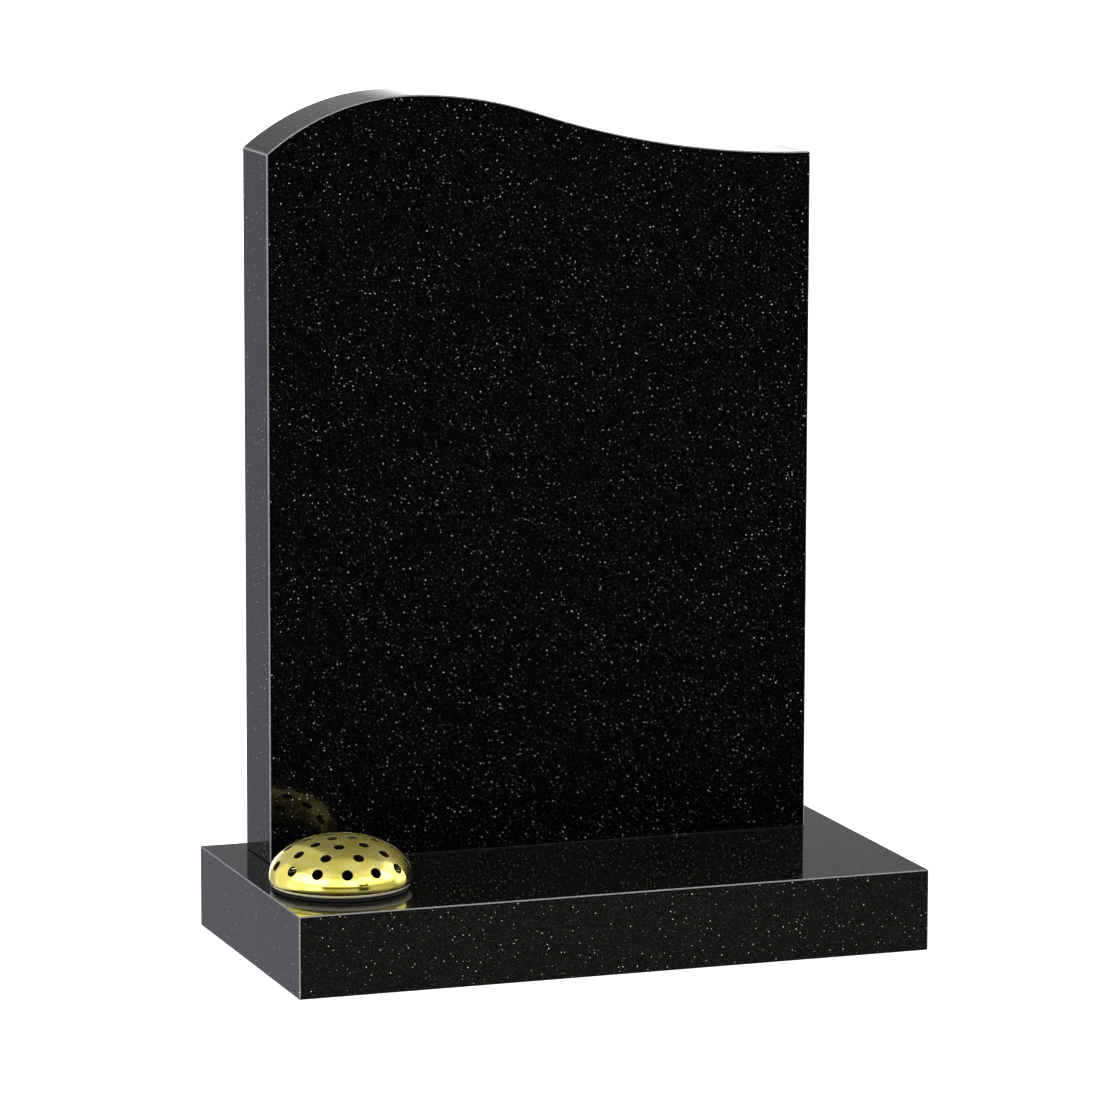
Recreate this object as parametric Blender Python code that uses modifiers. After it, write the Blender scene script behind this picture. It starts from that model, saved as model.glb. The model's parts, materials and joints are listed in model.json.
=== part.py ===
"""A lawn headstone: an ogee-topped tablet on a base slab, with a flower container and its pierced lid.

Metres, +Z up. The origin is on the ground under the middle of the base slab, and the face looks along -Y.
"""

import math

import bmesh
import bpy
from mathutils import Vector

# Base slab
BASE_WIDTH = 0.6096
BASE_DEPTH = 0.3175
BASE_HEIGHT = 0.0762

# Tablet, with its heights measured from its own foot
TABLET_WIDTH = 0.5334
TABLET_THICKNESS = 0.0762
TABLET_BACK_INSET = 0.0254
CREST_HEIGHT = 0.7112
CREST_FROM_LEFT = 0.1397
LEFT_SHOULDER_DROP = 0.0508
RIGHT_SHOULDER_DROP = 0.0635
FALL_RADIUS = 0.385

# Edges of the stone
ARRIS = 0.0015
ARRIS_ANGLE = math.radians(40)

# Flower container
CONTAINER_FROM_LEFT = 0.0705
CONTAINER_FROM_FRONT = 0.101
CONTAINER_DEPTH = 0.064
CONTAINER_WALL = 0.0025
FLANGE_THICKNESS = 0.003
FLANGE_BEARING = 0.012
SEAT_RING_HEIGHT = 0.004
SEAT_RING_WALL = 0.002

# Lid
LID_DIAMETER = 0.132
LID_RISE = 0.038
LID_EDGE_HEIGHT = 0.008
LID_EDGE_ROLL = 0.006
LID_FOOT_WIDTH = 0.0015
LID_OVERHANG = 0.004
LID_WALL = 0.002

# Stem holes in the lid, in four rings down the dome
STEM_HOLE_DIAMETER = 0.0105
CROWN_RING_RADIUS = 0.0134
UPPER_RING_FROM_RIM = 0.035
LOWER_RING_FROM_RIM = 0.0181
EDGE_RING_FROM_RIM = 0.0045
CROWN_RING_HOLES = 4
UPPER_RING_HOLES = 8
LOWER_RING_HOLES = 10
EDGE_RING_HOLES = 14
CROWN_RING_TURN = math.radians(39)
UPPER_RING_TURN = math.radians(25)
LOWER_RING_TURN = math.radians(20.5)
EDGE_RING_TURN = math.radians(1)

# Clearances
REST_GAP = 0.0003
BORE_CLEARANCE = 0.0015
SEAT_CLEARANCE = 0.001
CUT_OVERRUN = 0.01

# Facets
ARC_STEP = math.radians(3.2)
BORE_SIDES = 64
CONTAINER_SIDES = 64
LID_SIDES = 64
LID_RINGS = 12
LID_EDGE_RINGS = 4
STEM_HOLE_SIDES = 12
SMOOTH_ANGLE = math.radians(35)
FLAT_ANGLE = math.radians(0.1)
MERGE_DISTANCE = 0.00001

# Places worked out from the sizes
BASE_LEFT = -BASE_WIDTH / 2
BASE_FRONT = -BASE_DEPTH / 2
BASE_BACK = BASE_DEPTH / 2
TABLET_FOOT = BASE_HEIGHT + REST_GAP
TABLET_BACK = BASE_BACK - TABLET_BACK_INSET
TABLET_MIDDLE = TABLET_BACK - TABLET_THICKNESS / 2
CONTAINER_X = BASE_LEFT + CONTAINER_FROM_LEFT
CONTAINER_Y = BASE_FRONT + CONTAINER_FROM_FRONT
LID_RADIUS = LID_DIAMETER / 2
LID_FOOT_RADIUS = LID_RADIUS - LID_EDGE_ROLL
FLANGE_RADIUS = LID_RADIUS - LID_OVERHANG
BORE_RADIUS = FLANGE_RADIUS - FLANGE_BEARING
CONTAINER_RADIUS = BORE_RADIUS - BORE_CLEARANCE
SEAT_RING_RADIUS = LID_FOOT_RADIUS - LID_FOOT_WIDTH - SEAT_CLEARANCE
FLANGE_UNDERSIDE = BASE_HEIGHT + REST_GAP
FLANGE_TOP = FLANGE_UNDERSIDE + FLANGE_THICKNESS
LID_FOOT = FLANGE_TOP + REST_GAP


def clear_scene():
    for obj in list(bpy.data.objects):
        bpy.data.objects.remove(obj, do_unlink=True)


def new_collection(name):
    collection = bpy.data.collections.new(name)
    bpy.context.scene.collection.children.link(collection)
    return collection


def new_material(name, colour, roughness, metallic):
    material = bpy.data.materials.new(name)
    material.use_nodes = True
    material.diffuse_color = (*colour, 1.0)
    shader = material.node_tree.nodes["Principled BSDF"]
    shader.inputs["Base Color"].default_value = (*colour, 1.0)
    shader.inputs["Roughness"].default_value = roughness
    shader.inputs["Metallic"].default_value = metallic
    return material


def new_object(name, mesh, collection, location=(0, 0, 0), material=None):
    obj = bpy.data.objects.new(name, mesh)
    obj.location = location
    if material:
        mesh.materials.append(material)
    collection.objects.link(obj)
    return obj


def mark_as_cutter(obj):
    obj.hide_render = True
    obj.display_type = "WIRE"


def shade_by_angle(mesh):
    mesh.shade_smooth()
    mesh.set_sharp_from_angle(angle=SMOOTH_ANGLE)


def add_arris(obj):
    """Takes the sharp edge off the stone, as the polisher does."""
    bevel = obj.modifiers.new("arris", "BEVEL")
    bevel.width = ARRIS
    bevel.segments = 1
    bevel.limit_method = "ANGLE"
    bevel.angle_limit = ARRIS_ANGLE


def add_cut(obj, cutter, name):
    cut = obj.modifiers.new(name, "BOOLEAN")
    cut.operation = "DIFFERENCE"
    cut.solver = "EXACT"
    cut.object = cutter


def cylinder_mesh(name, radius, height, sides):
    """A closed cylinder about Z, centred on its origin."""
    mesh = bpy.data.meshes.new(name)
    shape = bmesh.new()
    bmesh.ops.create_cone(
        shape, cap_ends=True, segments=sides, radius1=radius, radius2=radius, depth=height
    )
    shape.to_mesh(mesh)
    shape.free()
    return mesh


def arc(centre, radius, start, end):
    """Points on an arc, both ends included, with a step of no more than ARC_STEP."""
    steps = max(2, math.ceil(abs(end - start) / ARC_STEP))
    angles = [start + (end - start) * k / steps for k in range(steps + 1)]
    return [(centre[0] + radius * math.cos(a), centre[1] + radius * math.sin(a)) for a in angles]


def ogee_outline():
    """The tablet's outline, x across and z up from its foot, anticlockwise from the lower left corner.

    The top is three arcs. The first rises from the left shoulder to the crest, the second falls
    away from the crest, and the third is hollow, meets the second in one tangent and comes level
    at the right shoulder.
    """
    left, right = -TABLET_WIDTH / 2, TABLET_WIDTH / 2
    left_height = CREST_HEIGHT - LEFT_SHOULDER_DROP
    right_height = CREST_HEIGHT - RIGHT_SHOULDER_DROP
    crest_x = left + CREST_FROM_LEFT
    rise_radius = (CREST_FROM_LEFT**2 + LEFT_SHOULDER_DROP**2) / (2 * LEFT_SHOULDER_DROP)
    rise_centre = (crest_x, CREST_HEIGHT - rise_radius)
    fall_centre = (crest_x, CREST_HEIGHT - FALL_RADIUS)

    across = right - fall_centre[0]
    above = right_height - fall_centre[1]
    hollow_radius = (across**2 + above**2 - FALL_RADIUS**2) / (2 * (FALL_RADIUS - above))
    hollow_centre = (right, right_height + hollow_radius)
    tangent = math.atan2(hollow_centre[1] - fall_centre[1], hollow_centre[0] - fall_centre[0])

    upright = math.pi / 2
    left_end = math.atan2(left_height - rise_centre[1], left - rise_centre[0])
    hollow = arc(hollow_centre, hollow_radius, -upright, tangent - math.pi)
    fall = arc(fall_centre, FALL_RADIUS, tangent, upright)
    rise = arc(rise_centre, rise_radius, upright, left_end)
    return [(left, 0.0), (right, 0.0), *hollow, *fall[1:], *rise[1:]]


def extruded_mesh(name, outline, thickness):
    """A flat outline filled and given its thickness, standing up in the XZ plane."""
    curve = bpy.data.curves.new(name, "CURVE")
    curve.dimensions = "2D"
    curve.fill_mode = "BOTH"
    curve.extrude = thickness / 2
    spline = curve.splines.new("POLY")
    spline.points.add(len(outline) - 1)
    for point, (x, z) in zip(spline.points, outline):
        point.co = (x, z, 0.0, 1.0)
    spline.use_cyclic_u = True
    guide = bpy.data.objects.new(name, curve)
    bpy.context.scene.collection.objects.link(guide)
    guide.rotation_euler = (math.pi / 2, 0.0, 0.0)
    bpy.context.view_layer.update()
    evaluated = guide.evaluated_get(bpy.context.evaluated_depsgraph_get())
    mesh = bpy.data.meshes.new_from_object(evaluated)
    mesh.transform(guide.matrix_world)
    bpy.data.objects.remove(guide, do_unlink=True)

    shape = bmesh.new()
    shape.from_mesh(mesh)
    bmesh.ops.remove_doubles(shape, verts=shape.verts, dist=MERGE_DISTANCE)
    bmesh.ops.dissolve_limit(
        shape, angle_limit=FLAT_ANGLE, verts=shape.verts, edges=shape.edges
    )
    bmesh.ops.recalc_face_normals(shape, faces=shape.faces)
    shape.to_mesh(mesh)
    shape.free()
    return mesh


def turned_object(name, profile, collection, location, sides, material):
    """A profile at +X, running down its outer side, turned about Z."""
    mesh = bpy.data.meshes.new(name)
    points = [(radius, 0.0, height) for radius, height in profile]
    mesh.from_pydata(points, [(k, k + 1) for k in range(len(points) - 1)], [])
    obj = new_object(name, mesh, collection, location, material)
    screw = obj.modifiers.new("turned", "SCREW")
    screw.axis = "Z"
    screw.angle = math.tau
    screw.steps = sides
    screw.render_steps = sides
    screw.use_merge_vertices = True
    screw.merge_threshold = MERGE_DISTANCE
    screw.use_smooth_shade = True
    return obj


def build_tablet(collection, granite):
    mesh = extruded_mesh("headstone_tablet", ogee_outline(), TABLET_THICKNESS)
    tablet = new_object(
        "headstone_tablet", mesh, collection, (0.0, TABLET_MIDDLE, TABLET_FOOT), granite
    )
    add_arris(tablet)
    return tablet


def build_base(collection, cutters, granite):
    mesh = bpy.data.meshes.new("base_slab")
    shape = bmesh.new()
    bmesh.ops.create_cube(shape, size=1.0)
    bmesh.ops.scale(shape, vec=(BASE_WIDTH, BASE_DEPTH, BASE_HEIGHT), verts=shape.verts)
    shape.to_mesh(mesh)
    shape.free()
    base = new_object("base_slab", mesh, collection, (0.0, 0.0, BASE_HEIGHT / 2), granite)
    add_arris(base)

    bore = new_object(
        "container_bore",
        cylinder_mesh("container_bore", BORE_RADIUS, BASE_HEIGHT + 2 * CUT_OVERRUN, BORE_SIDES),
        cutters,
        (CONTAINER_X, CONTAINER_Y, BASE_HEIGHT / 2),
    )
    mark_as_cutter(bore)
    add_cut(base, bore, "container bore")
    return base


def container_profile():
    """The pot's section from the middle of its floor outwards, its height measured from the slab's top."""
    flange_foot = FLANGE_UNDERSIDE - BASE_HEIGHT
    flange_top = FLANGE_TOP - BASE_HEIGHT
    ring_top = flange_top + SEAT_RING_HEIGHT
    ring_inside = SEAT_RING_RADIUS - SEAT_RING_WALL
    mouth = CONTAINER_RADIUS - CONTAINER_WALL
    floor = -CONTAINER_DEPTH + CONTAINER_WALL
    return [
        (0.0, floor),
        (mouth, floor),
        (mouth, flange_top),
        (ring_inside, flange_top),
        (ring_inside, ring_top),
        (SEAT_RING_RADIUS, ring_top),
        (SEAT_RING_RADIUS, flange_top),
        (FLANGE_RADIUS, flange_top),
        (FLANGE_RADIUS, flange_foot),
        (CONTAINER_RADIUS, flange_foot),
        (CONTAINER_RADIUS, -CONTAINER_DEPTH),
        (0.0, -CONTAINER_DEPTH),
    ]


def build_container(collection, plastic):
    return turned_object(
        "flower_container",
        container_profile(),
        collection,
        (CONTAINER_X, CONTAINER_Y, BASE_HEIGHT),
        CONTAINER_SIDES,
        plastic,
    )


def dome_point(turn):
    """Radius and height on the outside of the dome, and the unit normal there.

    turn runs from 0 at the crown to a quarter turn where the dome meets its rolled edge.
    """
    radius = LID_RADIUS * math.sin(turn)
    height = LID_EDGE_HEIGHT + LID_RISE * math.cos(turn)
    slope_out = LID_RISE * math.sin(turn)
    slope_up = LID_RADIUS * math.cos(turn)
    length = math.hypot(slope_out, slope_up)
    return radius, height, (slope_out / length, slope_up / length)


def lid_profile():
    """The lid's section: down the outside of the dome, in under its rolled edge and back up."""
    quarter = math.pi / 2
    outside, inside = [], []
    for ring in range(LID_RINGS + 1):
        radius, height, normal = dome_point(quarter * ring / LID_RINGS)
        outside.append((radius, height))
        inside.append((radius - LID_WALL * normal[0], height - LID_WALL * normal[1]))
    for ring in range(1, LID_EDGE_RINGS + 1):
        turn = quarter * ring / LID_EDGE_RINGS
        out, down = math.cos(turn), math.sin(turn)
        outside.append(
            (LID_FOOT_RADIUS + LID_EDGE_ROLL * out, LID_EDGE_HEIGHT * (1 - down))
        )
        inside.append(
            (
                LID_FOOT_RADIUS + (LID_EDGE_ROLL - LID_WALL) * out,
                LID_EDGE_HEIGHT - (LID_EDGE_HEIGHT - LID_WALL) * down,
            )
        )
    end = LID_FOOT_RADIUS - LID_FOOT_WIDTH
    return outside + [(end, 0.0), (end, LID_WALL)] + inside[::-1]


def stem_hole_places():
    """Ring radius and angle about the lid's axis of each stem hole."""
    places = []
    rings = (
        (CROWN_RING_RADIUS, CROWN_RING_HOLES, CROWN_RING_TURN),
        (LID_RADIUS - UPPER_RING_FROM_RIM, UPPER_RING_HOLES, UPPER_RING_TURN),
        (LID_RADIUS - LOWER_RING_FROM_RIM, LOWER_RING_HOLES, LOWER_RING_TURN),
        (LID_RADIUS - EDGE_RING_FROM_RIM, EDGE_RING_HOLES, EDGE_RING_TURN),
    )
    for radius, count, turn in rings:
        places += [(radius, turn + math.tau * k / count) for k in range(count)]
    return places


def build_lid(collection, cutters, gold):
    lid_place = Vector((CONTAINER_X, CONTAINER_Y, LID_FOOT))
    lid = turned_object("container_lid", lid_profile(), collection, lid_place, LID_SIDES, gold)
    drill = cylinder_mesh(
        "stem_hole", STEM_HOLE_DIAMETER / 2, LID_WALL + 2 * CUT_OVERRUN, STEM_HOLE_SIDES
    )
    for number, (ring, angle) in enumerate(stem_hole_places(), start=1):
        turn = math.asin(ring / LID_RADIUS)
        radius, height, (out, up) = dome_point(turn)
        around = Vector((math.cos(angle), math.sin(angle), 0.0))
        normal = around * out + Vector((0.0, 0.0, up))
        place = around * radius + Vector((0.0, 0.0, height)) - normal * LID_WALL / 2
        cutter = new_object(f"stem_hole_{number}", drill, cutters, lid_place + place)
        cutter.rotation_mode = "QUATERNION"
        cutter.rotation_quaternion = normal.to_track_quat("Z", "Y")
        mark_as_cutter(cutter)
        add_cut(lid, cutter, f"stem hole {number}")
    return lid


def main():
    clear_scene()
    parts = new_collection("headstone")
    cutters = new_collection("headstone cutters")
    granite = new_material("polished_black_granite", (0.006, 0.006, 0.006), 0.06, 0.0)
    plastic = new_material("container_plastic", (0.012, 0.012, 0.012), 0.35, 0.0)
    gold = new_material("gold_lid_metal", (0.85, 0.65, 0.17), 0.08, 1.0)
    build_tablet(parts, granite)
    build_base(parts, cutters, granite)
    build_container(parts, plastic)
    build_lid(parts, cutters, gold)
    for obj in parts.objects:
        shade_by_angle(obj.data)


main()
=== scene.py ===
"""A polished black granite headstone on its base slab, with a gold flower container lid.

Metres, +Z up, the tablet's blank face along -Y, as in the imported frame.
"""

from __future__ import annotations

import json
import logging
import math
from contextlib import contextmanager
from dataclasses import dataclass
from enum import Enum
from typing import Callable, Iterator, Sequence

import bmesh
import bpy
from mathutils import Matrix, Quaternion, Vector

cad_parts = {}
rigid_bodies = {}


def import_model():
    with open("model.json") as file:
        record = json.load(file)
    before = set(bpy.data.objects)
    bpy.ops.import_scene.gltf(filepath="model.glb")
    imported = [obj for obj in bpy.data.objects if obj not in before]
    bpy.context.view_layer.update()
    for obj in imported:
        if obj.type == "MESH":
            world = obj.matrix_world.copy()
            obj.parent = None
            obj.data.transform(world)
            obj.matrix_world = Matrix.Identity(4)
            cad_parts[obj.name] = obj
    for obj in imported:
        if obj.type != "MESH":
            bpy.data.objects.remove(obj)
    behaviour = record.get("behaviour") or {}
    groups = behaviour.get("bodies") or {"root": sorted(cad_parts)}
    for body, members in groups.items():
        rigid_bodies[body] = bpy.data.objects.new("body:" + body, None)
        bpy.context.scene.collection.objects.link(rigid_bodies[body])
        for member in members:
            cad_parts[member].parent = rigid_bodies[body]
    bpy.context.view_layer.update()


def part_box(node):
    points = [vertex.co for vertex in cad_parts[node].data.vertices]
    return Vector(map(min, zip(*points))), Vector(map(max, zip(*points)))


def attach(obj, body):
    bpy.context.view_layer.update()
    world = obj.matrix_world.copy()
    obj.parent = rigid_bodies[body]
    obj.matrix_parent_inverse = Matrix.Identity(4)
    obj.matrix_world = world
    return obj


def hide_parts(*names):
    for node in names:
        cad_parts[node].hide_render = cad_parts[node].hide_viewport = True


LOG = logging.getLogger("headstone")
BODY = "root"
MERGE_DISTANCE = 0.00001
FLAT_ANGLE = math.radians(0.1)
EDGE_ANGLE = math.radians(38)
MOSTLY_LEVEL = 0.5
FACING_BACK = 0.1
SHADER_PLACE = (600, 0)
OUTPUT_PLACE = (900, 0)

Colour = tuple[float, float, float]
Point = tuple[float, float, float]


class StoneCut(Enum):
    """How a face of the stone is worked, by the number of its finish, save the arris finish, which
    is a painted highlight.
    """

    POLISHED = 0
    # Painted highlight: a pale ground on the rounded edges that face the front and the sides, in
    # place of their glint.
    ARRIS = 1
    SAWN = 2
    CORED = 3


class Axis(Enum):
    """The axes of the frame that pieces are turned about."""

    Y = (0.0, 1.0, 0.0)
    Z = (0.0, 0.0, 1.0)


def deselect_all() -> None:
    """Leaves nothing selected and nothing active."""
    for obj in bpy.context.view_layer.objects:
        obj.select_set(False)
    bpy.context.view_layer.objects.active = None


def take_up(obj: bpy.types.Object) -> None:
    """Makes one object the only one that operators act on.

    Args:
        obj: The object to work on.
    """
    deselect_all()
    obj.select_set(True)
    bpy.context.view_layer.objects.active = obj


@contextmanager
def editing(obj: bpy.types.Object) -> Iterator[None]:
    """Edit mode on one object, with nothing selected in it at the start.

    Args:
        obj: The object to edit.
    """
    take_up(obj)
    bpy.ops.object.mode_set(mode="EDIT")
    bpy.ops.mesh.select_mode(type="VERT")
    bpy.ops.mesh.select_all(action="DESELECT")
    try:
        yield
    finally:
        bpy.ops.object.mode_set(mode="OBJECT")


def set_down(name: str) -> bpy.types.Object:
    """Names the primitive just added and puts its place into its mesh.

    Args:
        name: The name of the piece.

    Returns:
        The piece, with its object at the origin.
    """
    obj = bpy.context.object
    obj.name = name
    obj.data.name = name
    bpy.ops.object.transform_apply(location=True, rotation=True, scale=True)
    return obj


def select_vertices(obj: bpy.types.Object, wanted: Callable[[Vector], bool]) -> None:
    """Selects the vertices of the mesh in edit mode that pass a test of their place.

    Args:
        obj: The object in edit mode.
        wanted: The test of a vertex's place.
    """
    bpy.ops.mesh.select_all(action="DESELECT")
    bpy.ops.mesh.select_mode(type="VERT")
    mesh = bmesh.from_edit_mesh(obj.data)
    for vertex in mesh.verts:
        vertex.select = wanted(vertex.co)
    mesh.select_flush(True)
    bmesh.update_edit_mesh(obj.data)


def finish_with(obj: bpy.types.Object, kind: str, name: str, **settings: object) -> None:
    """Adds a modifier and applies it.

    Args:
        obj: The object to shape.
        kind: The modifier's type.
        name: The modifier's name.
        **settings: The modifier's values.
    """
    take_up(obj)
    modifier = obj.modifiers.new(name, kind)
    for key, value in settings.items():
        setattr(modifier, key, value)
    bpy.ops.object.modifier_apply(modifier=modifier.name)


def close_up(obj: bpy.types.Object) -> None:
    """Merges doubles and points every face outwards.

    Args:
        obj: The object to tidy.
    """
    with editing(obj):
        bpy.ops.mesh.select_all(action="SELECT")
        bpy.ops.mesh.remove_doubles(threshold=MERGE_DISTANCE)
        bpy.ops.mesh.normals_make_consistent(inside=False)


def round_edges(obj: bpy.types.Object, width: float, segments: int) -> None:
    """Rounds the sharp edges and keeps the flat faces flat to the light.

    Args:
        obj: The object to round.
        width: How far the rounding reaches from the edge, less where short edges meet it.
        segments: How many facets the rounding has.
    """
    take_up(obj)
    bpy.ops.object.shade_smooth()
    finish_with(
        obj,
        "BEVEL",
        "rounded edges",
        width=width,
        segments=segments,
        limit_method="ANGLE",
        angle_limit=EDGE_ANGLE,
        harden_normals=True,
    )


def turned_solid(
    name: str, centre: Point, rings: Sequence[tuple[float, float]], sides: int
) -> bpy.types.Object:
    """A closed solid turned about Z, drawn up ring by ring from a disc.

    Args:
        name: The name of the piece.
        centre: The point on the axis that heights are measured from.
        rings: Radius and height of each ring, from the first disc to the last.
        sides: How many facets it has around.

    Returns:
        The solid.
    """
    x, y, z = centre
    radius, height = rings[0]
    deselect_all()
    bpy.ops.mesh.primitive_circle_add(
        vertices=sides, radius=radius, fill_type="NGON", location=(x, y, z + height)
    )
    obj = set_down(name)
    with editing(obj):
        bpy.ops.mesh.select_all(action="SELECT")
        for next_radius, next_height in rings[1:]:
            bpy.ops.mesh.extrude_region_move(
                TRANSFORM_OT_translate={"value": (0.0, 0.0, next_height - height)}
            )
            grow = next_radius / radius
            bpy.ops.transform.resize(
                value=(grow, grow, 1.0), center_override=(x, y, z + next_height)
            )
            radius, height = next_radius, next_height
    close_up(obj)
    return obj


def hand_in(obj: bpy.types.Object, node: str) -> None:
    """Makes a finished piece stand for its CAD node and ride on the frame.

    Args:
        obj: The finished piece.
        node: The CAD node that it replaces.
    """
    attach(obj, BODY)
    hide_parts(node)


class Recipe:
    """A material's or the world's nodes, laid out from left to right as they are added."""

    LEFT_END = -2400
    COLUMN_WIDTH = 180
    ROW_HEIGHT = 160
    ROWS = 5

    def __init__(self, tree: bpy.types.NodeTree) -> None:
        """Starts a recipe.

        Args:
            tree: The node tree to fill.
        """
        self.tree = tree
        self.column = 0

    def node(self, kind: str, **settings: object) -> bpy.types.Node:
        """Adds a node.

        Args:
            kind: The node's type.
            **settings: The node's own properties.

        Returns:
            The node.
        """
        node = self.tree.nodes.new(kind)
        across = self.LEFT_END + self.column * self.COLUMN_WIDTH
        node.location = (across, -(self.column % self.ROWS) * self.ROW_HEIGHT)
        self.column += 1
        for key, value in settings.items():
            setattr(node, key, value)
        return node

    def feed(self, socket: bpy.types.NodeSocket, value: object) -> None:
        """Links a socket, or sets its own value where the value is a constant.

        Args:
            socket: The input socket.
            value: An output socket, a number or a colour.
        """
        if isinstance(value, bpy.types.NodeSocket):
            self.tree.links.new(value, socket)
        elif isinstance(value, tuple) and len(value) == 3 and socket.type == "RGBA":
            socket.default_value = (*value, 1.0)
        else:
            socket.default_value = value

    def math(self, operation: str, *values: object, clamp: bool = False) -> bpy.types.NodeSocket:
        """A math node.

        Args:
            operation: The operation's name.
            *values: Its inputs, sockets or numbers.
            clamp: Whether the result is held between 0 and 1.

        Returns:
            The result's socket.
        """
        node = self.node("ShaderNodeMath", operation=operation, use_clamp=clamp)
        for socket, value in zip(node.inputs, values):
            self.feed(socket, value)
        return node.outputs[0]

    def ramp(self, value: object, low: object, high: object) -> bpy.types.NodeSocket:
        """A smooth step from 0 at low to 1 at high.

        Args:
            value: What is measured.
            low: Where the step starts.
            high: Where the step ends.

        Returns:
            The result's socket.
        """
        node = self.node("ShaderNodeMapRange", interpolation_type="SMOOTHSTEP")
        for key, part in (("Value", value), ("From Min", low), ("From Max", high)):
            self.feed(node.inputs[key], part)
        return node.outputs["Result"]

    def blend(self, share: object, first: object, second: object) -> bpy.types.NodeSocket:
        """Mixes two colours.

        Args:
            share: How much of the second colour is taken.
            first: The first colour.
            second: The second colour.

        Returns:
            The mixed colour's socket.
        """
        node = self.node("ShaderNodeMix", data_type="RGBA")
        # Of the mix node's inputs, 6 and 7 are its two colours, and output 2 is the mixed one.
        for key, part in ((0, share), (6, first), (7, second)):
            self.feed(node.inputs[key], part)
        return node.outputs[2]

    def noise(self, place: object, scale: float, detail: float = 2.0) -> bpy.types.NodeSocket:
        """A cloudy pattern.

        Args:
            place: The place that the pattern is read at.
            scale: How small its clouds are.
            detail: How many finer patterns are laid over it.

        Returns:
            The pattern's socket.
        """
        node = self.node("ShaderNodeTexNoise")
        self.feed(node.inputs["Vector"], place)
        self.feed(node.inputs["Scale"], scale)
        self.feed(node.inputs["Detail"], detail)
        return node.outputs["Fac"]

    def relief(self, height: object, strength: float, depth: float) -> bpy.types.NodeSocket:
        """A fine relief in the surface.

        Args:
            height: The pattern of the relief.
            strength: How strongly it shows.
            depth: How deep it is.

        Returns:
            The normal's socket.
        """
        node = self.node("ShaderNodeBump")
        self.feed(node.inputs["Strength"], strength)
        self.feed(node.inputs["Distance"], depth)
        self.feed(node.inputs["Height"], height)
        return node.outputs["Normal"]


def new_recipe(name: str) -> tuple[bpy.types.Material, Recipe, bpy.types.Node]:
    """A new material with an empty recipe and its shader.

    Args:
        name: The material's name.

    Returns:
        The material, its recipe and its shader node.
    """
    material = bpy.data.materials.new(name)
    material.use_nodes = True
    shader = material.node_tree.nodes["Principled BSDF"]
    shader.location = SHADER_PLACE
    material.node_tree.nodes["Material Output"].location = OUTPUT_PLACE
    return material, Recipe(material.node_tree), shader


@dataclass(frozen=True)
class FleckLayer:
    """One size of mineral fleck scattered through the stone."""

    spacing: float
    reach: tuple[float, float]
    share: float
    brightness: float
    fade: float


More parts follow.
